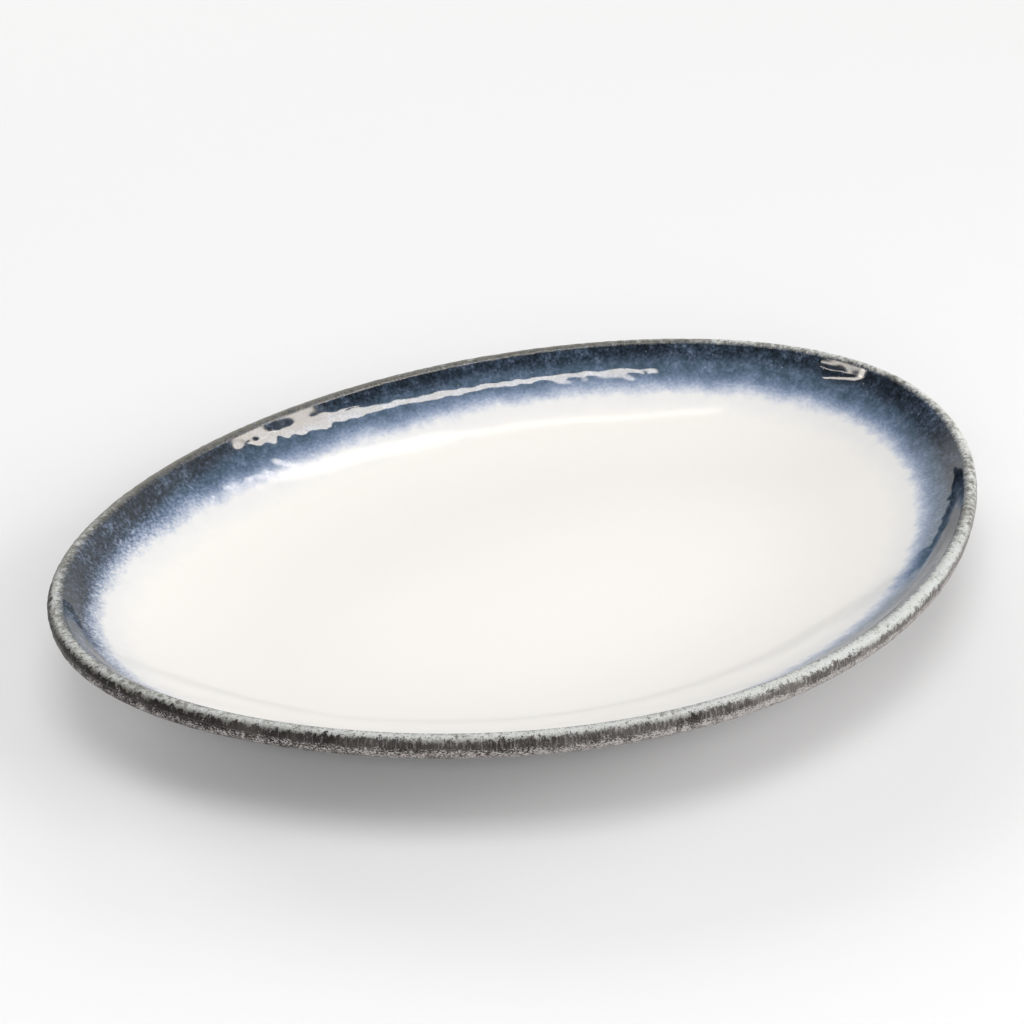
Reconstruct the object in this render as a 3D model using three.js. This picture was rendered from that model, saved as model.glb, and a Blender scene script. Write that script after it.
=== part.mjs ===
// Oval serving plate with a shell-like outline: a stoneware body under five fired glaze coats.
// Millimetres, +Z up. The origin is on the table, in the middle of the plate's length and width.

import * as THREE from 'three';

// Outline of the finished plate
const LENGTH = 290; // tip to tip
const WIDTH = 214; // flatter long side, at +Y, to fuller long side, at -Y
const HEIGHT = 32.5; // table to lip crest
const TIP_SETBACK = 11.8; // the two tips lie this far to +Y of the middle
const END_TAPER = 0.043; // draws the outline in beside the tips, 0 leaves round ends

// Lip
const LIP_THICKNESS = 5;
const LIP_SLOPE = THREE.MathUtils.degToRad(48); // steepest stretch inside, below the round crest
const LIP_FACE = 2.8; // length of that stretch
const SHOULDER_RADIUS = 25; // bend from it into the dish
const UNDERCUT_RADIUS = 3; // bend from the lip's outer face into the underside

// Dish
const WALL_SLOPE = THREE.MathUtils.degToRad(32); // at the top of the wall
const WALL_THICKNESS = 3.7; // clay at the top of the wall
const FLOOR_INSET = 64; // lip's outer edge to the flat floor
const FLOOR_THICKNESS = 5.6; // clay under the flat floor

// Foot ring
const FOOT_INSET = 56; // lip's outer edge to the ring's outer side
const FOOT_WIDTH = 6;
const FOOT_HEIGHT = 3; // table to the clay inside the ring
const FOOT_ROUNDING = 1;
const BARE_FOOT = 1.6; // clay left without glaze up the ring's outer side

// Glaze coats
const WHITE_COAT = 0.4; // whole inside, up to the lip
const BLUE_COAT = 0.2; // band on top of the white, at the lip
const BLUE_FEATHER = 0.08; // the same band at its lower edge, where the spray thins out
const BLUE_INSET = 16.5; // lip's outer edge to the band's lower edge
const RIM_COAT = 0.6; // over the lip
const OUTSIDE_COAT = 0.35; // lip to foot ring
const BASE_COAT = 0.3; // inside the foot ring

// Finishes
const CLAY = { color: 0xb7a48c, roughness: 0.85, metalness: 0 };
const WHITE = { color: 0xf3f1ea, roughness: 0.12, metalness: 0 };
const BLUE = { color: 0x2b3854, roughness: 0.15, metalness: 0 };
const MOTTLED_GREY = { color: 0x9c9d98, roughness: 0.4, metalness: 0 };
const DARK_BROWN = { color: 0x564f48, roughness: 0.45, metalness: 0 };

// Facets
const SEGMENTS = 48; // round the outline
const CREST_STEPS = 6;
const BEND_STEPS = 3;
const ROUNDING_STEPS = 2;
const BAND_STEPS = 3;
const DISH_STEPS = 6;

// Places that follow from the sizes, as (inset from the lip's outer edge, height) in a cross-section
const middle = WIDTH / 2;
const lipOutside = Math.max(RIM_COAT, OUTSIDE_COAT);
const crestRadius = (LIP_THICKNESS - RIM_COAT - lipOutside) / 2;
const crestHeight = HEIGHT - RIM_COAT - crestRadius;
const crestCentre = point(lipOutside + crestRadius, crestHeight);
const floorHeight = FOOT_HEIGHT + FLOOR_THICKNESS;
const footInside = FOOT_INSET + FOOT_WIDTH;
const footInnerRound = point(footInside - FOOT_ROUNDING, FOOT_ROUNDING);
const footOuterRound = point(FOOT_INSET + FOOT_ROUNDING, FOOT_ROUNDING);
const lipAngle = Math.PI / 2 - LIP_SLOPE;
const bendAngle = Math.PI / 2 - WALL_SLOPE;

// Over the lip and down its inside: round crest, straight stretch, bend that ends at the wall's slope
const crest = arc(crestCentre, crestRadius, Math.PI, lipAngle, CREST_STEPS);
const shoulderTop = onwards(crest.at(-1), -LIP_SLOPE, LIP_FACE);
const shoulderCentre = onwards(shoulderTop, lipAngle, SHOULDER_RADIUS);
const shoulder = arc(shoulderCentre, SHOULDER_RADIUS, Math.PI + lipAngle, Math.PI + bendAngle, BEND_STEPS);
const wallTop = shoulder.at(-1);

// Outside of the lip: the underside leaves the bend parallel to the wall, one wall thickness below it
const undersideEdge = wallTop.y - WALL_THICKNESS / Math.cos(WALL_SLOPE)
  + (wallTop.x - lipOutside) * Math.tan(WALL_SLOPE);
const undercutHeight = undersideEdge + UNDERCUT_RADIUS * (1 - Math.sin(WALL_SLOPE)) / Math.cos(WALL_SLOPE);
const undercutCentre = point(lipOutside + UNDERCUT_RADIUS, undercutHeight);
const undercut = arc(undercutCentre, UNDERCUT_RADIUS, Math.PI + bendAngle, Math.PI, BEND_STEPS);
const undersideTop = undercut[0];

// Coats meet at the inner end of the crest, and halfway down the lip's outer face
const outsideJoint = point(lipOutside, (crestHeight + undercutHeight) / 2);

function point(inset, height) {
  return new THREE.Vector2(inset, height);
}

// The point at a distance from another one, angles being taken from the direction of the plate's middle
function onwards(start, angle, distance) {
  return point(start.x + distance * Math.cos(angle), start.y + distance * Math.sin(angle));
}

// Points of a round stretch between two angles
function arc(centre, radius, from, to, steps) {
  return new THREE.ArcCurve(centre.x, centre.y, radius, from, to, to < from).getPoints(steps);
}

// Dish curve from top down to the bottom height: a power of the way still to go to the flat floor,
// with the power that gives it the wall's slope at the top
function dishHeight(inset, top, bottom) {
  const run = FLOOR_INSET - top.x;
  const drop = top.y - bottom;
  const share = Math.max(0, (FLOOR_INSET - inset) / run);
  return bottom + drop * share ** (Math.tan(WALL_SLOPE) * run / drop);
}

function dishPoints(from, to, steps, top, bottom) {
  const points = [];
  for (let step = 0; step <= steps; step += 1) {
    const inset = THREE.MathUtils.lerp(from, to, step / steps);
    points.push(point(inset, dishHeight(inset, top, bottom)));
  }
  return points;
}

// The body's surface in five lines, each ending where the next starts: base, foot, outside, rim, inside
const baseLine = [
  point(middle, FOOT_HEIGHT),
  point(footInside, FOOT_HEIGHT),
];
const footLine = [
  baseLine.at(-1),
  ...arc(footInnerRound, FOOT_ROUNDING, 0, -Math.PI / 2, ROUNDING_STEPS),
  ...arc(footOuterRound, FOOT_ROUNDING, -Math.PI / 2, -Math.PI, ROUNDING_STEPS),
  point(FOOT_INSET, BARE_FOOT),
];
const outsideLine = [
  footLine.at(-1),
  ...dishPoints(FOOT_INSET, undersideTop.x, DISH_STEPS, undersideTop, FOOT_HEIGHT),
  ...undercut.slice(1),
  outsideJoint,
];
const rimLine = [
  outsideJoint,
  ...crest,
];
const bandLine = [
  crest.at(-1),
  ...shoulder,
  ...dishPoints(wallTop.x, BLUE_INSET, BAND_STEPS, wallTop, floorHeight).slice(1),
];
const insideLine = [
  ...bandLine,
  ...dishPoints(BLUE_INSET, FLOOR_INSET, DISH_STEPS, wallTop, floorHeight).slice(1),
  point(middle, floorHeight),
];

// The line moved outwards by the coat's thickness, which runs evenly from its first point to its last
function coatSurface(line, firstThickness, lastThickness = firstThickness) {
  const normals = line.slice(1).map((end, i) => {
    const along = end.clone().sub(line[i]).normalize();
    return point(-along.y, along.x);
  });
  return line.map((start, i) => {
    const before = normals[Math.max(0, i - 1)];
    const after = normals[Math.min(i, normals.length - 1)];
    const outward = before.clone().add(after).normalize();
    const thickness = THREE.MathUtils.lerp(firstThickness, lastThickness, i / (line.length - 1));
    return start.clone().addScaledVector(outward, thickness);
  });
}

// Plan of the plate: at each angle a straight way leads from the middle line out to the lip. The two
// sides are drawn in beside the tips, and the tips are set back, which makes one long side flatter.
function planPoint(angle, inset) {
  const reach = middle - inset;
  const sides = (1 - END_TAPER * Math.cos(2 * angle)) / (1 + END_TAPER);
  const setback = TIP_SETBACK * Math.cos(angle) ** 2 / middle;
  return new THREE.Vector2(
    (LENGTH / 2 - inset) * Math.cos(angle),
    reach * (Math.sin(angle) * sides + setback),
  );
}

// Carries a cross-section round the plan. A coat goes round the other way from the surface that it
// lies on, so that the two share their facets and touch all over.
function carryRound(section, backwards) {
  const radii = section.map((p) => point(middle - p.x, p.y));
  const geometry = new THREE.LatheGeometry(radii, SEGMENTS);
  const position = geometry.getAttribute('position');
  for (let i = 0; i < position.count; i += 1) {
    const { x: inset, y: height } = section[i % section.length];
    const turn = Math.floor(i / section.length) % SEGMENTS;
    const station = backwards ? (SEGMENTS - turn) % SEGMENTS : turn;
    const plan = planPoint(2 * Math.PI * station / SEGMENTS, inset);
    position.setXYZ(i, plan.x, plan.y, height);
  }
  if (backwards) {
    const index = geometry.getIndex();
    for (let i = 0; i < index.count; i += 3) {
      const second = index.getX(i + 1);
      index.setX(i + 1, index.getX(i + 2));
      index.setX(i + 2, second);
    }
  }
  geometry.computeVertexNormals();
  return geometry;
}

function closed(section) {
  return [...section, section[0]];
}

function piece(name, geometry, finish) {
  const mesh = new THREE.Mesh(geometry, new THREE.MeshStandardMaterial(finish));
  mesh.name = name;
  return mesh;
}

// Stoneware, bare only on the foot ring
function stonewareBody() {
  const section = [
    ...baseLine,
    ...footLine.slice(1),
    ...outsideLine.slice(1),
    ...rimLine.slice(1),
    ...insideLine.slice(1),
  ];
  return piece('stoneware_body', carryRound(section, false), CLAY);
}

const whiteSurface = coatSurface(insideLine, WHITE_COAT);

function whiteInsideGlaze() {
  const section = [...insideLine.toReversed(), ...whiteSurface];
  return piece('white_inside_glaze', carryRound(section, true), WHITE);
}

// Lies on the white, from the joint at the lip down to the feathered edge
function blueBandGlaze() {
  const underneath = whiteSurface.slice(0, bandLine.length);
  const section = [...coatSurface(underneath, BLUE_COAT, BLUE_FEATHER), ...underneath.toReversed()];
  return piece('blue_band_glaze', carryRound(closed(section), false), BLUE);
}

function rimGlaze() {
  const section = [...coatSurface(rimLine, RIM_COAT), ...rimLine.toReversed()];
  return piece('rim_glaze', carryRound(closed(section), true), MOTTLED_GREY);
}

function outsideGlaze() {
  const section = [...coatSurface(outsideLine, OUTSIDE_COAT), ...outsideLine.toReversed()];
  return piece('outside_glaze', carryRound(closed(section), true), DARK_BROWN);
}

function baseGlaze() {
  const surface = [
    point(middle, FOOT_HEIGHT - BASE_COAT),
    point(footInside, FOOT_HEIGHT - BASE_COAT),
  ];
  const section = [...surface, ...baseLine.toReversed()];
  return piece('base_glaze', carryRound(section, true), DARK_BROWN);
}

const plate = new THREE.Group();
plate.add(
  stonewareBody(),
  whiteInsideGlaze(),
  blueBandGlaze(),
  rimGlaze(),
  outsideGlaze(),
  baseGlaze(),
);

export default plate;
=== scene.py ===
import math

import bpy
import numpy as np
from mathutils import Matrix, Vector


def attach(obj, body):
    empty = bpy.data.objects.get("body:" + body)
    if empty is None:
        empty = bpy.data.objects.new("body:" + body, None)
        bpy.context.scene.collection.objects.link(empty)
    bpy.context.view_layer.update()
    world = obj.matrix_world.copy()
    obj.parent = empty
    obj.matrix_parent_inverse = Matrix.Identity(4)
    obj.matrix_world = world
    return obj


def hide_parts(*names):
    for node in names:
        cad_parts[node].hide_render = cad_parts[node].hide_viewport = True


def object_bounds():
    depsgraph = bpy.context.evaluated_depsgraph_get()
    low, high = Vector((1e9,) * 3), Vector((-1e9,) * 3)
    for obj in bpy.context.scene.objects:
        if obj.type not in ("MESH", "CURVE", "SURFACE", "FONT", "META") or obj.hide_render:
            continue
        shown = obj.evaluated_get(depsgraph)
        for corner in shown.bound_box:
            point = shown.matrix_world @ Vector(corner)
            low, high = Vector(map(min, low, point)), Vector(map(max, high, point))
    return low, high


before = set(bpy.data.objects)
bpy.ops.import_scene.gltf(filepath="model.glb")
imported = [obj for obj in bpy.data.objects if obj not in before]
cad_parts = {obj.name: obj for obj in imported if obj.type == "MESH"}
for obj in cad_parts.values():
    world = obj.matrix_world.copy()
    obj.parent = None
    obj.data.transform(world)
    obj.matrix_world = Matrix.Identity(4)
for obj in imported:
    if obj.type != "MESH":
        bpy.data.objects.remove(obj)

# Oval stoneware plate with a shell-like outline, in metres: the clay body and the glazes fired on it.
# A cross-section is a line of (inset from the lip's outer edge, height), carried round the outline.

mm = 0.001
cadLow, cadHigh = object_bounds()

plate = {
    "length": cadHigh.x - cadLow.x,
    "width": cadHigh.y - cadLow.y,
    "height": cadHigh.z - cadLow.z,
    "tipSetback": 11.8 * mm,  # the two tips lie this far to +Y of the middle
    "endTaper": 0.043,  # draws the outline in beside the tips
    "creaseAngle": math.radians(50),  # sharper corners than this stay sharp
}
lip = {
    "thickness": 5 * mm,
    "innerSlope": math.radians(48),  # steepest stretch inside the lip
    "face": 2.8 * mm,  # length of that stretch
    "shoulder": 25 * mm,  # bend from it into the dish
    "undercut": 3 * mm,  # bend from the lip into the underside
    "bendSteps": 12,
    "crestSteps": 32,
    "faceSteps": 8,
}
dish = {
    "slope": math.radians(32),  # at the top of the wall
    "wall": 3.7 * mm,
    "floorInset": 64 * mm,
    "floorThickness": 5.6 * mm,
    "bandSteps": 20,
    "wallSteps": 36,
    "floorSteps": 12,
    "undersideSteps": 36,
}
foot = {
    "inset": 56 * mm,
    "width": 6 * mm,
    "height": 3 * mm,
    "rounding": 1 * mm,
    "bare": 1.6 * mm,  # clay left without glaze up the ring's outer side
    "steps": 8,
}
coats = {
    "white": 0.4 * mm,
    "blue": 0.2 * mm,
    "feather": 0.03 * mm,  # the blue at its lower edge
    "blueInset": 16.5 * mm,  # lip's outer edge to the blue's lower edge
    "rim": 0.6 * mm,
    "outside": 0.35 * mm,
    "base": 0.3 * mm,
    "hiddenStep": 4,  # surfaces between the coats keep one row in so many
}

middle = plate["width"] / 2
lipOutside = coats["rim"]
crestRadius = lip["thickness"] / 2 - coats["rim"]
crestHeight = plate["height"] - coats["rim"] - crestRadius
floorHeight = foot["height"] + dish["floorThickness"]
footInside = foot["inset"] + foot["width"]
bend = math.pi / 2 - dish["slope"]


def arc(centre, radius, first, last, steps):  # points of a circle between two angles
    turn = np.linspace(first, last, steps + 1)
    return np.stack([centre[0] + radius * np.cos(turn), centre[1] + radius * np.sin(turn)], 1)


def straight(first, last, steps):  # even points of a straight stretch
    return np.linspace(first, last, steps + 1)


def dishCurve(first, last, steps, top, bottom):
    # bottom + drop * (share of the way still to go) ** power,
    # with the power that gives the wall's slope at the top
    inset = np.linspace(first, last, steps + 1)
    run = dish["floorInset"] - top[0]
    drop = top[1] - bottom
    share = np.clip((dish["floorInset"] - inset) / run, 0, None)
    return np.stack([inset, bottom + drop * share ** (math.tan(dish["slope"]) * run / drop)], 1)


def joined(*stretches):  # stretches end to end, without the points that they share
    return np.concatenate([stretches[0], *(stretch[1:] for stretch in stretches[1:])])


def runAlong(line):  # distance of each point from the first one
    return np.concatenate([[0], np.cumsum(np.linalg.norm(np.diff(line, axis=0), axis=1))])


def thinned(rows):  # one row in so many, with both ends
    return np.concatenate([rows[:-1:coats["hiddenStep"]], rows[-1:]])


def smooth(value, low, high):  # 0 below low, 1 above high, no corner between
    share = np.clip((value - low) / (high - low), 0, 1)
    return share * share * (3 - 2 * share)


# Lines of the clay body
lipBend = math.pi / 2 - lip["innerSlope"]
crest = arc((lipOutside + crestRadius, crestHeight), crestRadius, math.pi, lipBend, lip["crestSteps"])
downward = np.array([math.cos(lip["innerSlope"]), -math.sin(lip["innerSlope"])])
shoulderTop = crest[-1] + downward * lip["face"]
shoulderCentre = shoulderTop + np.array([math.cos(lipBend), math.sin(lipBend)]) * lip["shoulder"]
shoulder = arc(shoulderCentre, lip["shoulder"], math.pi + lipBend, math.pi + bend, lip["bendSteps"])
wallTop = shoulder[-1]
undersideEdge = wallTop[1] - dish["wall"] / math.cos(dish["slope"])
undersideEdge = undersideEdge + (wallTop[0] - lipOutside) * math.tan(dish["slope"])
undercutHeight = undersideEdge + lip["undercut"] * (1 - math.sin(dish["slope"])) / math.cos(dish["slope"])
undercut = arc((lipOutside + lip["undercut"], undercutHeight), lip["undercut"],
               math.pi + bend, math.pi, lip["bendSteps"])
outsideJoint = (lipOutside, (crestHeight + undercutHeight) / 2)

baseLine = straight((middle, foot["height"]), (footInside, foot["height"]), dish["floorSteps"])
footLine = joined(
    straight(baseLine[-1], (footInside, foot["rounding"]), foot["steps"]),
    arc((footInside - foot["rounding"], foot["rounding"]), foot["rounding"], 0, -math.pi / 2, foot["steps"]),
    straight((footInside - foot["rounding"], 0), (foot["inset"] + foot["rounding"], 0), foot["steps"]),
    arc((foot["inset"] + foot["rounding"], foot["rounding"]), foot["rounding"],
        -math.pi / 2, -math.pi, foot["steps"]),
    straight((foot["inset"], foot["rounding"]), (foot["inset"], foot["bare"]), foot["steps"]),
)
undersideLine = dishCurve(foot["inset"], undercut[0][0], dish["undersideSteps"], undercut[0], foot["height"])
outsideLine = joined(
    straight(footLine[-1], undersideLine[0], foot["steps"]),
    undersideLine,
    undercut,
    straight(undercut[-1], outsideJoint, lip["faceSteps"]),
)
rimLine = joined(
    straight(outsideJoint, (lipOutside, crestHeight), lip["faceSteps"]),
    crest,
)
bandLine = joined(
    straight(crest[-1], shoulder[0], lip["faceSteps"]),
    shoulder,
    dishCurve(wallTop[0], coats["blueInset"], dish["bandSteps"], wallTop, floorHeight),
)
insideLine = joined(
    bandLine,
    dishCurve(coats["blueInset"], dish["floorInset"], dish["wallSteps"], wallTop, floorHeight),
    straight((dish["floorInset"], floorHeight), (middle, floorHeight), dish["floorSteps"]),
)

# Distance from the lip's crest along each line: over 0 inside the plate, under 0 outside
rimAlong = runAlong(rimLine) - runAlong(rimLine)[np.argmax(rimLine[:, 1])]
insideAlong = rimAlong[-1] + runAlong(insideLine)
outsideAlong = rimAlong[0] - runAlong(outsideLine)[-1] + runAlong(outsideLine)
footAlong = outsideAlong[0] - runAlong(footLine)[-1] + runAlong(footLine)
baseAlong = footAlong[0] - runAlong(baseLine)[-1] + runAlong(baseLine)


def carryRound(inset, height):
    # x = (half length - inset) * cos(angle)
    # y = (half width - inset) * (sin(angle), drawn in at the ends, + setback)
    angle = np.arange(inset.shape[1]) * 2 * math.pi / inset.shape[1]
    side = np.sin(angle) * (1 - plate["endTaper"] * np.cos(2 * angle)) / (1 + plate["endTaper"])
    side = side + plate["tipSetback"] * np.cos(angle) ** 2 / middle
    return np.stack([(plate["length"] / 2 - inset) * np.cos(angle), (middle - inset) * side, height], -1)


def allRound(line, count):  # the same line at each station of the outline
    return line[:, :1] + np.zeros(count), line[:, 1:] + np.zeros(count)


def coatOver(line, thickness):
    # the line moved outwards, square to itself, by a thickness at each row and station
    step = np.gradient(line, axis=0)
    step = step / np.linalg.norm(step, axis=1, keepdims=True)
    return line[:, :1] - step[:, 1:] * thickness, line[:, 1:] + step[:, :1] * thickness


waveRange = (0.7, 1.5)  # shortest and longest wave of a relief, as shares of its named size


def ripple(line, count, relief):
    # sum of plane waves through space, sin(2 pi * place . way / length + phase), scaled to the named spread
    draw = np.random.default_rng(relief["seed"])
    place = carryRound(*allRound(line, count))
    way = draw.normal(size=(relief["waves"], 3))
    way = way / np.linalg.norm(way, axis=1, keepdims=True)
    length = relief["size"] * draw.uniform(*waveRange, relief["waves"])
    phase = draw.uniform(0, 2 * math.pi, relief["waves"])
    total = sum(np.sin(place @ (2 * math.pi / length[i] * way[i]) + phase[i])
                for i in range(relief["waves"]))
    return relief["spread"] * total / math.sqrt(relief["waves"] / 2)


def addPiece(name, node, finish, inset, height, along, loop):
    # rows of a cross-section by stations of the outline;
    # a loop closes on itself, others end on the middle line
    rows, count = inset.shape
    grid = carryRound(inset, height)
    corner = np.arange(rows * count).reshape(rows, count)
    if loop:
        corner = np.vstack([corner, corner[:1]])
    else:  # the two sides of an end row share their points on the middle line
        back = np.minimum(np.arange(count), count - np.arange(count))
        corner[[0, -1]] = corner[[0, -1]][:, back]
    used, corner = np.unique(corner, return_inverse=True)
    corner = corner.reshape(-1, count)
    points = grid.reshape(-1, 3)[used]
    beside = np.roll(corner, -1, axis=1)
    quads = np.stack([corner[:-1], beside[:-1], beside[1:], corner[1:]], -1).reshape(-1, 4)
    a, b, c, d = (points[quads[:, i]] for i in range(4))
    if np.einsum("ij,ij->", a, np.cross(b, c) + np.cross(c, d)) < 0:  # six times the volume
        quads = quads[:, ::-1]
    mesh = bpy.data.meshes.new(name)
    mesh.vertices.add(len(points))
    mesh.vertices.foreach_set("co", points.ravel())
    mesh.loops.add(quads.size)
    mesh.loops.foreach_set("vertex_index", quads.ravel())
    mesh.polygons.add(len(quads))
    mesh.polygons.foreach_set("loop_start", np.arange(len(quads)) * 4)
    ring = carryRound(np.zeros((rows, count)), along[:, None] + np.zeros(count))
    mesh.attributes.new("lipRing", "FLOAT_VECTOR", "POINT").data.foreach_set(
        "vector", ring.reshape(-1, 3)[used].ravel())
    mesh.update(calc_edges=True)
    mesh.validate()
    mesh.shade_smooth()
    mesh.set_sharp_from_angle(angle=plate["creaseAngle"])
    mesh.materials.append(finish)
    piece = bpy.data.objects.new(name, mesh)
    bpy.context.scene.collection.objects.link(piece)
    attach(piece, "root")
    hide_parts(node)
    print("piece", name, len(points), "points,", 2 * len(quads), "triangles")


def addCoat(name, node, finish, top, line, along, loop):
    # a skin between its surface and the line under it
    under = allRound(thinned(line[::-1]), top[0].shape[1])
    addPiece(name, node, finish, np.vstack([top[0], under[0]]), np.vstack([top[1], under[1]]),
             np.concatenate([along, thinned(along[::-1])]), loop)


class Wire:  # one socket of a finish, with arithmetic that adds Math nodes
    def __init__(self, tree, socket=None):
        self.tree = tree
        self.socket = socket

    def make(self, kind, settings, inputs, output=0):  # any node: type, settings, what its sockets take
        node = self.tree.nodes.new(kind)
        for key, value in settings.items():
            setattr(node, key, value)
        for key, value in inputs.items():
            socket = node.inputs[key]
            if isinstance(value, Wire):
                self.tree.links.new(value.socket, socket)
            elif socket.type == "RGBA":
                socket.default_value = (*value, 1)
            else:
                socket.default_value = value
        return Wire(self.tree, node.outputs[output]) if node.outputs else None

    def math(self, operation, first, second):
        return self.make("ShaderNodeMath", {"operation": operation}, {0: first, 1: second})

    def __add__(self, other):
        return self.math("ADD", self, other)

    def __radd__(self, other):
        return self.math("ADD", other, self)

    def __sub__(self, other):
        return self.math("SUBTRACT", self, other)

    def __rsub__(self, other):
        return self.math("SUBTRACT", other, self)

    def __mul__(self, other):
        return self.math("MULTIPLY", self, other)

    def __rmul__(self, other):
        return self.math("MULTIPLY", other, self)

    def __rpow__(self, other):
        return self.math("POWER", other, self)

    def rise(self, low, high):  # 0 below low, 1 above high
        return self.make("ShaderNodeMapRange", {"interpolation_type": "SMOOTHSTEP"},
                         {"Value": self, "From Min": low, "From Max": high})

    def mix(self, below, above):  # colours, with this as the share of the second
        return self.make("ShaderNodeMix", {"data_type": "RGBA"}, {0: self, 6: below, 7: above}, 2)

    def towards(self, way):  # how far a place lies that way
        return self.make("ShaderNodeVectorMath", {"operation": "DOT_PRODUCT"}, {0: self, 1: way}, "Value")

    def stretch(self, across, along):  # counted in these lengths round the plate and along the section
        return self.make("ShaderNodeVectorMath", {"operation": "MULTIPLY"},
                         {0: self, 1: (1 / across, 1 / across, 1 / along)})

    def cloud(self, across, along, detail=2.0, roughness=0.5):  # noise about 0 with grains of that size
        return self.make("ShaderNodeTexNoise", {}, {
            "Vector": self.stretch(across, along),
            "Scale": 1.0,
            "Detail": detail,
            "Roughness": roughness,
        }) - 0.5

    def dots(self, apart, radius, share):  # round specks in a share of the places, soft in their outer half
        cells = self.make("ShaderNodeTexVoronoi", {}, {"Vector": self.stretch(apart, apart), "Scale": 1.0})
        drawn = Wire(self.tree, cells.socket.node.outputs["Color"])
        drawn = self.make("ShaderNodeSeparateColor", {}, {0: drawn})
        chosen = drawn.rise(1 - share, 1 - share + 0.01)  # a sharp step
        return (1 - cells.rise(radius / apart / 2, radius / apart)) * chosen


def weighed(clouds, weights):  # sum of some of the clouds, each times its weight
    return sum(clouds[name] * weight for name, weight in weights.items())


def newFinish(name):  # an empty material, with the coordinates that its clouds are made from
    material = bpy.data.materials.new(name)
    material.use_nodes = True
    material.node_tree.nodes.clear()
    start = Wire(material.node_tree)
    ring = start.make("ShaderNodeAttribute", {"attribute_name": "lipRing"}, {}, "Vector")
    place = start.make("ShaderNodeTexCoord", {}, {}, "Object")
    along = start.make("ShaderNodeSeparateXYZ", {}, {0: ring}, "Z") * (1 / mm)  # mm from the lip's crest
    return material, ring, place, along


sheen = {"satin": 0.14, "glassy": 0.5}  # mirror of the opaque glazes, and of the clear blue one


def closeFinish(colour, roughness, relief, depth, glassy=None):
    # relief is a height field, depth its real height at 1; glassy is the share of the clear glaze on top
    values = {
        "Base Color": colour,
        "Roughness": roughness,
        "Specular IOR Level": sheen["satin"],
        "Normal": colour.make("ShaderNodeBump", {}, {"Strength": 1.0, "Distance": depth, "Height": relief}),
    }
    shader = colour.make("ShaderNodeBsdfPrincipled", {}, values)
    if glassy is not None:
        values["Specular IOR Level"] = sheen["glassy"]
        clear = colour.make("ShaderNodeBsdfPrincipled", {}, values)
        shader = colour.make("ShaderNodeMixShader", {}, {0: glassy, 1: shader, 2: clear})
    colour.make("ShaderNodeOutputMaterial", {}, {"Surface": shader})


# The spray gun's passes and the kiln's heat left the glazes uneven round the plate, and the outside glaze is
# also lighter towards the hot end with painted light from the right. Each change has its way, and the
# distances that way between which it sets in.
hotEnd = (0.826, -0.563, 0)
uneven = {
    "heat": (hotEnd, (-0.13, 0.13)),  # one end took more heat, and its lip is paler
    "spray": (hotEnd, (-0.05, 0.12)),  # the blue reaches further down there
    "warmth": (hotEnd, (-0.13, -0.085)),  # away from the coolest end, where the blue stays high
    "spread": (hotEnd, (0.03, 0.12)),  # the pale lip reaches further out there
    "tip": ((1, 0, 0), (0.09, 0.135)),  # where the lip is palest
    "thin": ((0.2, 0.98, 0), (0.02, 0.1)),  # on this side less of the blue lies thick under the lip
    "dull": ((0.563, 0.826, 0), (-0.05, 0.05)),  # on this side the lip stayed olive
    "full": ((0, 1, 0), (0.09, 0.104)),  # the spray went further down on the flatter side
}


def howMuch(place, change):  # 0 before the change sets in, 1 where it is complete
    way, reach = uneven[change]
    return place.towards(way).rise(*reach)


# A cloud is its grain round the plate and along the section, its detail and its roughness
band = {
    "white": (0.865, 0.843, 0.8),
    "stain": (0.122, 0.180, 0.278),  # what one full coat of the blue lets through
    "slate": (0.215, 0.22, 0.23),  # and where it lies thick under the lip, what the rest lets through
    "clouds": {
        "grain": (1.0 * mm, 1.0 * mm, 2.0, 0.6),
        "mottle": (3.0 * mm, 3.0 * mm, 2.0, 0.6),
        "tongues": (6.5 * mm, 6.5 * mm, 1.0, 0.5),  # of the feathered edge
        "darkReflectionPools": (13 * mm, 13 * mm, 1.0, 0.5),  # painted dark reflection: darker pools in the thick glaze under the lip, for the dim room mirrored there
    },
    "drift": (30 * mm, 60 * mm, 1.0, 0.5),
    "edgeBreak": {"mottle": 5, "tongues": 3.5, "drift": 3},  # mm that the clouds move the edges
    "slateEdge": (5.5, 10.5),  # mm from the crest
    "slateTail": (6.0, 16.0),
    "slateShares": (0.78, 0.22),  # how much ends at the edge, and how much at the tail
    "slateShift": (2.6, 1.0),  # mm less on the thin side, and mm more at the cool end
    "slateBreak": {"grain": 1.9, "mottle": 1.2, "darkReflectionPools": 1.6},
    "softEdge": (5.2, 16.0),  # mm from the crest: the blue feathers out into the white
    "softShift": (3.0, 2.3, 1.3),  # mm more away from the cool end, at the hot end and on the flatter side
    "fullCoats": 1.02,  # of the blue
    "blueBreak": {"grain": 1.6, "mottle": 1.2},
    "featherGrain": 4,  # more grain where it feathers out
    "calm": 0.35,  # share of the grain that is left away from the cool end
    "clear": 0.344,  # a thin coat holds back this much less of the blue light
    "mistEdge": (12.0, 26.0),  # the last of the spray
    "mist": 0.06,
    "specks": (2.4 * mm, 0.2 * mm, 0.4),  # painted glints: distance apart, radius, share of the places
    "glintWhite": 0.45,
    "gloss": 0.045,
    "whiteGloss": 0.09,
    "haze": (12 * mm, 12 * mm),
    "hazeStep": 0.02,
    "melt": (7 * mm, 7 * mm, 0.0),
    "meltHeight": 0.03 * mm,
}


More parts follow.
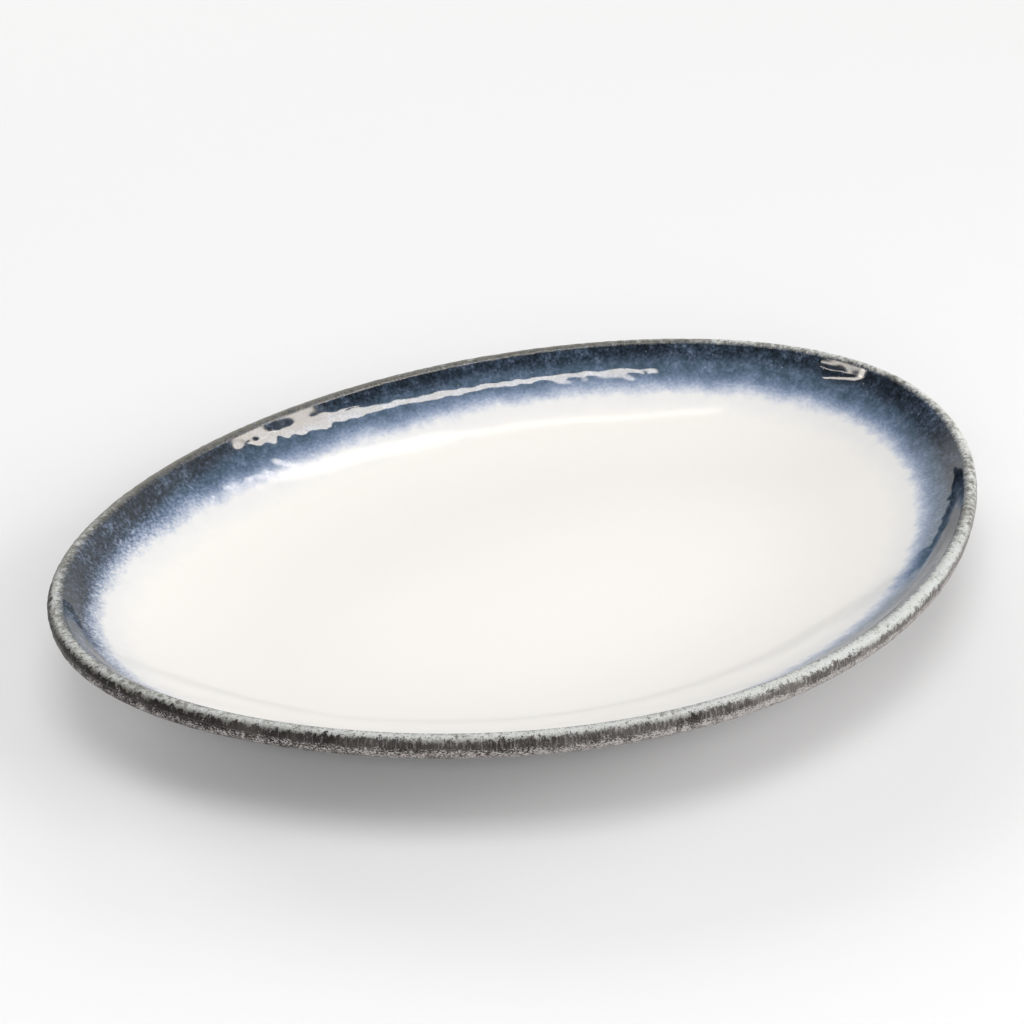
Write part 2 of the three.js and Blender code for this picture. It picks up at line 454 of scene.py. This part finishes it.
def bandColour(ring, place, along):  # white glaze seen through the blue: white * stain ** coats, by channel
    clouds = {name: place.cloud(*values) for name, values in band["clouds"].items()}
    clouds["drift"] = ring.cloud(*band["drift"])
    warmth = howMuch(place, "warmth")
    cool = 1 - warmth
    edge = along + weighed(clouds, band["edgeBreak"])
    feather = edge - warmth * band["softShift"][0]
    feather = feather - howMuch(place, "spray") * band["softShift"][1]
    feather = feather - howMuch(ring, "full") * band["softShift"][2]
    soft = 1 - feather.rise(*band["softEdge"])
    slateAlong = edge + howMuch(place, "thin") * band["slateShift"][0] - cool * band["slateShift"][1]
    thick = (1 - slateAlong.rise(*band["slateEdge"])) * band["slateShares"][0]
    thick = thick + (1 - slateAlong.rise(*band["slateTail"])) * band["slateShares"][1]
    # the pools in this break are painted dark reflection; the grain and mottle are the glaze's own
    thick = thick * (1 + weighed(clouds, band["slateBreak"]))
    clouds["grain"] = clouds["grain"] * (cool * (1 - band["calm"]) + band["calm"])
    coatsHere = soft * (band["fullCoats"] + weighed(clouds, band["blueBreak"]))
    coatsHere = coatsHere + soft * (1 - soft) * clouds["grain"] * band["featherGrain"]
    coatsHere = coatsHere + (1 - feather.rise(*band["mistEdge"])) * band["mist"]
    blueCoats = coatsHere * (coatsHere * band["clear"] + (1 - band["clear"]))
    red, green, blue = (white * stain ** depth * slate ** thick for white, stain, slate, depth in zip(
        band["white"], band["stain"], band["slate"], (coatsHere, coatsHere, blueCoats)))
    colour = along.make("ShaderNodeCombineColor", {}, {0: red, 1: green, 2: blue})
    # white specks where the blue is soft: painted glints in the white glaze's colour
    specks = ring.dots(*band["specks"]) * soft * band["glintWhite"]
    return specks.mix(colour, band["white"]), soft


def insideFinish(name):  # white and blue, smoother and more glassy where the blue is thick
    material, ring, place, along = newFinish(name)
    colour, soft = bandColour(ring, place, along)
    roughness = band["whiteGloss"] + soft * (band["gloss"] - band["whiteGloss"])
    roughness = roughness + place.cloud(*band["haze"]) * band["hazeStep"]
    closeFinish(colour, roughness, place.cloud(*band["melt"]), band["meltHeight"], soft)
    return material


rim = {
    "pale": (0.73, 0.735, 0.7),  # at the hot tip
    "cool": (0.59, 0.605, 0.58),  # the same glaze elsewhere
    "olive": (0.165, 0.158, 0.136),
    "clouds": {
        "hatch": (0.5 * mm, 1.2 * mm, 3.0, 0.6),
        "lump": (1.1 * mm, 1.1 * mm, 3.0, 0.6),
        "pepper": (0.35 * mm, 0.35 * mm, 2.0, 0.6),
        "freckle": (1.8 * mm, 1.4 * mm, 4.0, 0.7),
        "drift": (25 * mm, 25 * mm, 1.0, 0.5),
    },
    "innerEdge": (-0.4, 1.7),  # mm inwards from the crest: the pale glaze breaks up
    "innerBreak": {"hatch": 3, "lump": 2, "pepper": 1},  # mm that the clouds move it
    "innerShift": 0.3,  # mm more on the side where the blue is thin
    "outerEdge": (0.7, 1.9),  # mm outwards
    "outerBreak": {"lump": 2, "hatch": 1, "pepper": 2, "freckle": 4, "drift": 1.5},
    "outerShift": 1.1,  # mm more at the hot end
    "oliveEdge": (-0.2, 0.1),  # the olive shows where the clouds add up to less
    "oliveBreak": {"hatch": 0.3, "lump": 0.3, "pepper": 0.6, "freckle": 1, "drift": 0.4},
    "oliveShift": (0.12, 0.14, 0.28),  # less towards the hot end and at its tip, more on the dull side
    "crest": (-0.6, 0.6),  # mm over which the brown underneath gives way to the blue
    "gloss": 0.34,
    "bead": 0.5,  # how far the pale glaze stands up, as a share of the relief
}
brown = {
    "dark": (0.015, 0.0128, 0.011),
    "taupe": (0.165, 0.148, 0.136),
    "taupeCloud": (9 * mm, 9 * mm, 3.0),
    "taupeEdge": (-0.1, 0.9),
    "paintedLightTaupe": 0.45,  # lighter at the hot end: painted light, for the light from the right on that end's outer face
    "streak": (0.6 * mm, 2.5 * mm, 4.0, 0.7),
    "streakEdge": (-0.02, 0.25),
    "streakShare": (0.06, 0.75),  # everywhere, and more at the hot end
    "fleck": (0.44, 0.41, 0.39),
    "fleckCloud": (0.6 * mm, 0.4 * mm, 3.0, 0.7),
    "fleckPatch": (2.5 * mm, 2.5 * mm, 1.0),
    "patchShare": 0.3,
    "fleckEdge": (0.1, 0.3),
    "fleckStart": (2.5, 5.0),  # mm outwards from the crest: more flecks set in
    "fleckEnd": (10, 22),  # and get few
    "fleckFewer": 0.7,
    "fleckMore": (0.15, 0.1),  # everywhere, and at the hot end
    "gloss": 0.42,
    "fleckDull": 0.15,
    "fleckStep": 0.5,  # height of a fleck, as a share of the relief
    "sand": (0.7 * mm, 0.7 * mm, 3.0),
    "grain": 0.11 * mm,  # height of the relief
}


def outsideColour(ring, place, along):
    # dark brown, lighter in clouds and streaks, with pale flecks below the lip
    heat = howMuch(place, "heat")
    # the cloud is the glaze's own variation; the shift at the hot end is painted light from the right
    base = (heat * brown["paintedLightTaupe"] + place.cloud(*brown["taupeCloud"])).rise(*brown["taupeEdge"])
    base = base.mix(brown["dark"], brown["taupe"])
    streaks = ring.cloud(*brown["streak"]).rise(*brown["streakEdge"])
    streaks = streaks * (brown["streakShare"][0] + heat * brown["streakShare"][1])
    out = 0 - along
    many = out.rise(*brown["fleckStart"]) * (1 - out.rise(*brown["fleckEnd"]) * brown["fleckFewer"])
    flecks = ring.cloud(*brown["fleckCloud"]) + place.cloud(*brown["fleckPatch"]) * brown["patchShare"]
    flecks = flecks + many * (brown["fleckMore"][0] + heat * brown["fleckMore"][1])
    flecks = flecks.rise(*brown["fleckEdge"])
    return flecks.mix(streaks.mix(base, brown["fleck"]), brown["fleck"]), flecks


def outsideRelief(place, flecks):  # raised flecks on a sandy ground
    return flecks * brown["fleckStep"] + place.cloud(*brown["sand"])


def rimFinish(name):  # a broken pale glaze with olive in it, over the blue inside and the brown outside
    material, ring, place, along = newFinish(name)
    clouds = {kind: ring.cloud(*values) for kind, values in rim["clouds"].items()}
    tip = howMuch(place, "tip")
    inner = along + weighed(clouds, rim["innerBreak"]) - howMuch(place, "thin") * rim["innerShift"]
    inner = inner.rise(*rim["innerEdge"])
    outer = weighed(clouds, rim["outerBreak"]) - along - howMuch(place, "spread") * rim["outerShift"]
    outer = outer.rise(*rim["outerEdge"])
    cover = (1 - inner) * (1 - outer)
    whole = weighed(clouds, rim["oliveBreak"]) + howMuch(place, "heat") * rim["oliveShift"][0]
    whole = whole + tip * rim["oliveShift"][1] - howMuch(place, "dull") * rim["oliveShift"][2]
    whole = whole.rise(*rim["oliveEdge"])
    pale = whole.mix(rim["olive"], tip.mix(rim["cool"], rim["pale"]))
    outside, flecks = outsideColour(ring, place, along)
    under = along.rise(*rim["crest"]).mix(outside, bandColour(ring, place, along)[0])
    colour = cover.mix(under, pale)
    roughness = brown["gloss"] + cover * (rim["gloss"] - brown["gloss"])
    roughness = roughness + flecks * (1 - cover) * brown["fleckDull"]
    roughness = roughness * (1 - inner) + band["gloss"] * inner
    relief = cover * (clouds["hatch"] + clouds["lump"] + rim["bead"])
    relief = relief + outsideRelief(place, flecks) * (1 - cover) * (1 - inner)
    closeFinish(colour, roughness, relief, brown["grain"], inner)
    return material


def brownFinish(name):  # the outside's colour, duller on the flecks
    material, ring, place, along = newFinish(name)
    colour, flecks = outsideColour(ring, place, along)
    roughness = brown["gloss"] + flecks * brown["fleckDull"]
    closeFinish(colour, roughness, outsideRelief(place, flecks), brown["grain"])
    return material


clay = {
    "pale": (0.56, 0.48, 0.39),
    "dark": (0.36, 0.29, 0.22),
    "cloud": (5 * mm, 5 * mm, 4.0),
    "cloudEdge": (-0.2, 0.25),
    "speck": (0.12, 0.08, 0.05),
    "specks": (1.6 * mm, 0.2 * mm, 0.3),  # distance apart, radius, share of the places
    "sand": (0.5 * mm, 0.5 * mm, 4.0),
    "roughness": 0.85,
    "sandDull": 0.2,
    "grain": 0.15 * mm,  # height of the sand
}


def clayFinish(name):  # cloudy, with dark specks and a sandy relief
    material, _, place, _ = newFinish(name)
    clouds = place.cloud(*clay["cloud"]).rise(*clay["cloudEdge"])
    colour = place.dots(*clay["specks"]).mix(clouds.mix(clay["dark"], clay["pale"]), clay["speck"])
    sand = place.cloud(*clay["sand"])
    closeFinish(colour, clay["roughness"] + sand * clay["sandDull"], sand, clay["grain"])
    return material


body = {"stations": 720, "wear": {"size": 4 * mm, "spread": 0.03 * mm, "waves": 64, "seed": 9}}


def stonewareBody():  # bare only on the foot ring, which is a little worn and pitted
    line = joined(thinned(baseLine), footLine, thinned(outsideLine), thinned(rimLine), thinned(insideLine))
    along = joined(thinned(baseAlong), footAlong, thinned(outsideAlong),
                   thinned(rimAlong), thinned(insideAlong))
    worn = smooth(along, footAlong[0], footAlong[foot["steps"]])
    worn = worn * (1 - smooth(along, footAlong[-foot["steps"]], footAlong[-1]))
    pits = np.abs(ripple(line, body["stations"], body["wear"]))
    inset, height = coatOver(line, -worn[:, None] * pits)
    addPiece("stoneware_body_fine", "stoneware_body", clayFinish("bareStoneware"),
             inset, height, along, False)


inside = {
    "stations": 720,
    "bandStations": 1440,
    "jointFade": 4 * mm,  # no ripples at the lip joint
    "swell": {"size": 26 * mm, "spread": 0.02 * mm, "waves": 48, "seed": 3},
    "melt": {"size": 8 * mm, "spread": 0.003 * mm, "waves": 64, "seed": 4},
    "runs": {"size": 6 * mm, "spread": 0.014 * mm, "waves": 96, "seed": 6},  # where the blue melted
    "runsEnd": (11 * mm, 17 * mm),
    "runsShift": 8 * mm,  # they reach this much further down at one end
    "runsWay": (-1, 0, 0),
    "runsReach": (0, 40 * mm),
    "stillWay": (0.98, 0.2, 0),  # and hardly show at the other
    "stillReach": (112 * mm, 128 * mm),
    "still": 0.6,
}


def insideWaves(count):
    # height of swell + melt + runs at each row and station; the runs end below the blue,
    # and all three fade out at the lip joint
    place = carryRound(*allRound(insideLine, count))
    further = smooth(place @ np.array(inside["runsWay"]), *inside["runsReach"]) * inside["runsShift"]
    runs = 1 - smooth(insideAlong[:, None] - further, *inside["runsEnd"])
    runs = runs * (1 - inside["still"] * smooth(place @ np.array(inside["stillWay"]), *inside["stillReach"]))
    waves = ripple(insideLine, count, inside["swell"]) + ripple(insideLine, count, inside["melt"])
    waves = waves + runs * ripple(insideLine, count, inside["runs"])
    return waves * smooth(insideAlong, insideAlong[0], insideAlong[0] + inside["jointFade"])[:, None]


def whiteInside():  # one thickness and the waves, from the middle line up to the lip joint
    top = coatOver(insideLine, coats["white"] + insideWaves(inside["stations"]))
    top = (top[0][::-1], top[1][::-1])
    top[0][0] = middle  # the waves leave the middle line where it is
    addCoat("white_inside_glaze_fine", "white_inside_glaze", insideFinish("whiteGlaze"),
            top, insideLine[::-1], insideAlong[::-1], False)


def blueBand():  # on the white, thinning from the lip to its lower edge
    rows = len(bandLine)
    along = insideAlong[:rows]
    white = coats["white"] + insideWaves(inside["bandStations"])
    thinning = 1 - smooth(insideAlong, along[0], along[-1])
    blue = coats["feather"] + (coats["blue"] - coats["feather"]) * thinning
    over = coatOver(insideLine, white + blue[:, None])
    under = coatOver(insideLine, white)
    inset = np.vstack([over[0][:rows], thinned(under[0][:rows][::-1])])
    height = np.vstack([over[1][:rows], thinned(under[1][:rows][::-1])])
    addPiece("blue_band_glaze_fine", "blue_band_glaze", insideFinish("blueGlaze"),
             inset, height, np.concatenate([along, thinned(along[::-1])]), True)


lipCoat = {
    "stations": 1440,
    "outerFade": 1 * mm,
    "innerFade": 1.5 * mm,
    "lumps": {"size": 3 * mm, "spread": 0.03 * mm, "waves": 96, "seed": 5},
}


def rimOver():  # as thick as the outside coat where it meets it
    thicker = smooth(rimAlong, rimAlong[0], -crestRadius * math.pi / 2)
    thickness = coats["outside"] + (coats["rim"] - coats["outside"]) * thicker
    fade = smooth(rimAlong, rimAlong[0], rimAlong[0] + lipCoat["outerFade"])
    fade = fade * (1 - smooth(rimAlong, rimAlong[-1] - lipCoat["innerFade"], rimAlong[-1]))
    lumps = ripple(rimLine, lipCoat["stations"], lipCoat["lumps"]) * fade[:, None]
    addCoat("rim_glaze_fine", "rim_glaze", rimFinish("rimGlaze"),
            coatOver(rimLine, thickness[:, None] + lumps), rimLine, rimAlong, True)


underCoat = {
    "stations": 1080,
    "footFade": 2 * mm,
    "rimFade": 1 * mm,
    "edge": 0.2,  # share of the thickness at the glaze line on the foot ring
    "edgeRun": 0.8 * mm,
    "lumps": {"size": 4 * mm, "spread": 0.035 * mm, "waves": 96, "seed": 7},
}


def outsideOver():  # one thickness and lumps, thin at the glaze line on the foot ring
    first, last = outsideAlong[0], outsideAlong[-1]
    fade = smooth(outsideAlong, first, first + underCoat["footFade"])
    fade = fade * (1 - smooth(outsideAlong, last - underCoat["rimFade"], last))
    swell = np.sqrt(smooth(outsideAlong, first, first + underCoat["edgeRun"]))
    thickness = coats["outside"] * (underCoat["edge"] + (1 - underCoat["edge"]) * swell)
    lumps = ripple(outsideLine, underCoat["stations"], underCoat["lumps"]) * fade[:, None]
    addCoat("outside_glaze_fine", "outside_glaze", brownFinish("outsideGlaze"),
            coatOver(outsideLine, thickness[:, None] + lumps), outsideLine, outsideAlong, True)


def baseOver():  # one thickness and lumps, even where it meets the foot ring
    fade = 1 - smooth(baseAlong, baseAlong[-1] - underCoat["footFade"], baseAlong[-1])
    lumps = ripple(baseLine, underCoat["stations"], underCoat["lumps"]) * fade[:, None]
    top = coatOver(baseLine, coats["base"] + lumps)
    top[0][0] = middle
    addCoat("base_glaze_fine", "base_glaze", brownFinish("baseGlaze"),
            top, baseLine, baseAlong, False)


stonewareBody()
whiteInside()
blueBand()
rimOver()
outsideOver()
baseOver()

# Studio, planned from the camera's place: right, away and up from the middle of the plate
view = {
    "azimuth": math.radians(34.27),  # the plate's length is turned this far from the picture's width
    "elevation": math.radians(31),
    "distance": 848.2 * mm,
    "swing": math.radians(-0.697),  # aim past the middle of the plate, to the left
    "tilt": math.radians(2.083),  # and above it
    "fieldOfView": math.radians(20),
}
turnBack = Matrix.Rotation(-view["azimuth"], 3, "Z")


def fromCamera(right, away, up):  # turned into the plate's own axes
    return turnBack @ Vector((right, away, up))


def turned(first, second, angle):  # two axes turned about the third
    return (first * math.cos(angle) + second * math.sin(angle),
            second * math.cos(angle) - first * math.sin(angle))


def addCamera():  # looks at the middle of the plate, then swings and tilts a little
    back = view["distance"] * math.cos(view["elevation"])
    place = fromCamera(0, -back, view["distance"] * math.sin(view["elevation"]))
    aim = -place.normalized()
    right = fromCamera(1, 0, 0)
    up = right.cross(aim)
    aim, up = turned(aim, up, view["tilt"])
    aim, right = turned(aim, right, view["swing"])
    data = bpy.data.cameras.new("camera")
    data.angle = view["fieldOfView"]
    camera = bpy.data.objects.new("camera", data)
    camera.matrix_world = Matrix.Translation(place) @ Matrix((right, up, -aim)).transposed().to_4x4()
    bpy.context.scene.collection.objects.link(camera)
    bpy.context.scene.camera = camera


# Strips only show in gloss, and lie at one height: right and away of both ends, width
strips = {
    "rightStripNear": ((0.11, 0.052), (0.42, 0.075), 0.105),
    "rightStripMiddle": ((0.42, 0.095), (0.6, 0.095), 0.155),
    "rightStripFar": ((0.6, 0.075), (0.8, 0.075), 0.19),
    "rightStripEnd": ((0.8, 0.125), (0.93, 0.125), 0.09),
    "backStripNear": ((0.03, 0.272), (0.2, 0.349), 0.022),
    "backStripFar": ((0.2, 0.349), (0.395, 0.437), 0.058),
    "leftStrip": ((-0.31, 0.06), (-0.7, 0.07), 0.035),
    "leftEnd": ((-0.72, 0.09), (-0.44, -0.17), 0.01),
}
stripLight = {"height": 0.8, "radiance": 14, "colour": (1.0, 0.92, 0.83)}

# Panels never show in gloss: right, away and up of both ends, width, radiance
panels = {
    "front": ((-0.65, -1.9, 0.9), (0.65, -1.9, 0.9), 0.9, 6.45),
    "right": ((1.613, -1.174, 0.95), (1.987, 0.174, 0.95), 1.0, 4.9),
    "rightBack": ((1.865, 0.576, 0.8), (1.335, 1.424, 0.8), 0.9, 2.55),
    "back": ((0.399, 1.926, 0.8), (-0.599, 1.874, 0.8), 0.9, 3.35),
    "backLeft": ((-0.934, 1.74, 0.8), (-1.666, 1.06, 0.8), 0.9, 5.1),
    "left": ((-1.874, 0.599, 0.8), (-1.926, -0.399, 0.8), 0.9, 1.55),
    "top": ((-0.45, -0.45, 1.6), (0.45, -0.45, 1.6), 0.9, 3.3),
}
panelColour = (1, 1, 1)


def addLamp(name, first, last, width, radiance, colour, inGloss):  # faces the middle of the plate
    first, last = fromCamera(*first), fromCamera(*last)
    centre = (first + last) / 2
    data = bpy.data.lights.new(name, "AREA")
    data.shape = "RECTANGLE"
    data.size = (last - first).length
    data.size_y = width
    data.energy = math.pi * data.size * data.size_y * radiance
    data.color = colour
    lengthways = (last - first).normalized()
    facing = (centre - lengthways * centre.dot(lengthways)).normalized()
    axes = Matrix((lengthways, facing.cross(lengthways), facing)).transposed().to_4x4()
    lamp = bpy.data.objects.new(name, data)
    lamp.matrix_world = Matrix.Translation(centre) @ axes
    lamp.visible_camera = False
    lamp.visible_glossy = inGloss
    lamp.visible_diffuse = not inGloss
    bpy.context.scene.collection.objects.link(lamp)


room = {
    "pale": (0.925, 0.925, 0.915),
    "dim": (0.12, 0.12, 0.13),
    "ceiling": (0.5, 0.75),  # upward share of a direction: dim overhead
    "paleWay": (0.5, 0.866, 0),  # right and away: the pale wall
    "paleReach": (0.15, 0.6),
    "fill": 0.12,  # light on matt surfaces
}


def addWorld():  # a pale backdrop; in gloss the room is pale to the right and behind, dim elsewhere
    world = bpy.data.worlds.new("studio")
    world.use_nodes = True
    world.node_tree.nodes.clear()
    start = Wire(world.node_tree)
    direction = start.make("ShaderNodeTexCoord", {}, {}, "Generated")
    upward = start.make("ShaderNodeSeparateXYZ", {}, {0: direction}, "Z")
    wall = direction.towards(fromCamera(*room["paleWay"])).rise(*room["paleReach"])
    wall = wall * (1 - upward.rise(*room["ceiling"]))
    camera, gloss, glass = (start.make("ShaderNodeLightPath", {}, {}, kind)
                            for kind in ("Is Camera Ray", "Is Glossy Ray", "Is Transmission Ray"))
    colour = (wall + camera - wall * camera).mix(room["dim"], room["pale"])
    seen = start.make("ShaderNodeBackground", {}, {"Color": colour, "Strength": 1.0})
    lit = start.make("ShaderNodeBackground", {}, {"Color": (1, 1, 1), "Strength": room["fill"]})
    light = start.make("ShaderNodeMixShader", {}, {0: camera + gloss + glass, 1: lit, 2: seen})
    start.make("ShaderNodeOutputWorld", {}, {"Surface": light})
    bpy.context.scene.world = world


floor = {
    "radius": 2.0,
    "fade": (0.3, 0.9),  # distance from the middle
    "rings": 40,
    "spokes": 96,
    "colour": (0.88, 0.877, 0.88),
    "roughness": 0.8,
    "mirror": 0.2,
}


def addFloor():  # a pale disc that fades into the background far out
    radius = np.linspace(0, 1, floor["rings"] + 1)[1:, None] ** 2 * floor["radius"]
    angle = np.arange(floor["spokes"]) * 2 * math.pi / floor["spokes"]
    level = np.zeros((floor["rings"], floor["spokes"]))
    points = np.stack([radius * np.cos(angle), radius * np.sin(angle), level], -1).reshape(-1, 3)
    corner = np.arange(len(points)).reshape(floor["rings"], floor["spokes"])
    beside = np.roll(corner, -1, axis=1)
    quads = np.stack([corner[:-1], corner[1:], beside[1:], beside[:-1]], -1).reshape(-1, 4)
    mesh = bpy.data.meshes.new("floor")
    mesh.from_pydata(points.tolist(), [], quads.tolist() + [corner[0].tolist()])
    material = bpy.data.materials.new("paleFloor")
    material.use_nodes = True
    material.node_tree.nodes.clear()
    start = Wire(material.node_tree)
    place = start.make("ShaderNodeTexCoord", {}, {}, "Object")
    out = start.make("ShaderNodeVectorMath", {"operation": "LENGTH"}, {0: place}, "Value")
    shader = start.make("ShaderNodeBsdfPrincipled", {}, {
        "Base Color": floor["colour"],
        "Roughness": floor["roughness"],
        "Specular IOR Level": floor["mirror"],
        "Alpha": 1 - out.rise(*floor["fade"]),
    })
    start.make("ShaderNodeOutputMaterial", {}, {"Surface": shader})
    mesh.materials.append(material)
    disc = bpy.data.objects.new("floor", mesh)
    bpy.context.scene.collection.objects.link(disc)


addCamera()
for lampName, (first, last, width) in strips.items():
    addLamp(lampName, (*first, stripLight["height"]), (*last, stripLight["height"]), width,
            stripLight["radiance"], stripLight["colour"], True)
for lampName, lampValues in panels.items():
    addLamp(lampName, *lampValues, panelColour, False)
addWorld()
addFloor()
bpy.context.scene.view_settings.view_transform = "Standard"
print("studio", len(strips), "strips,", len(panels), "panels")
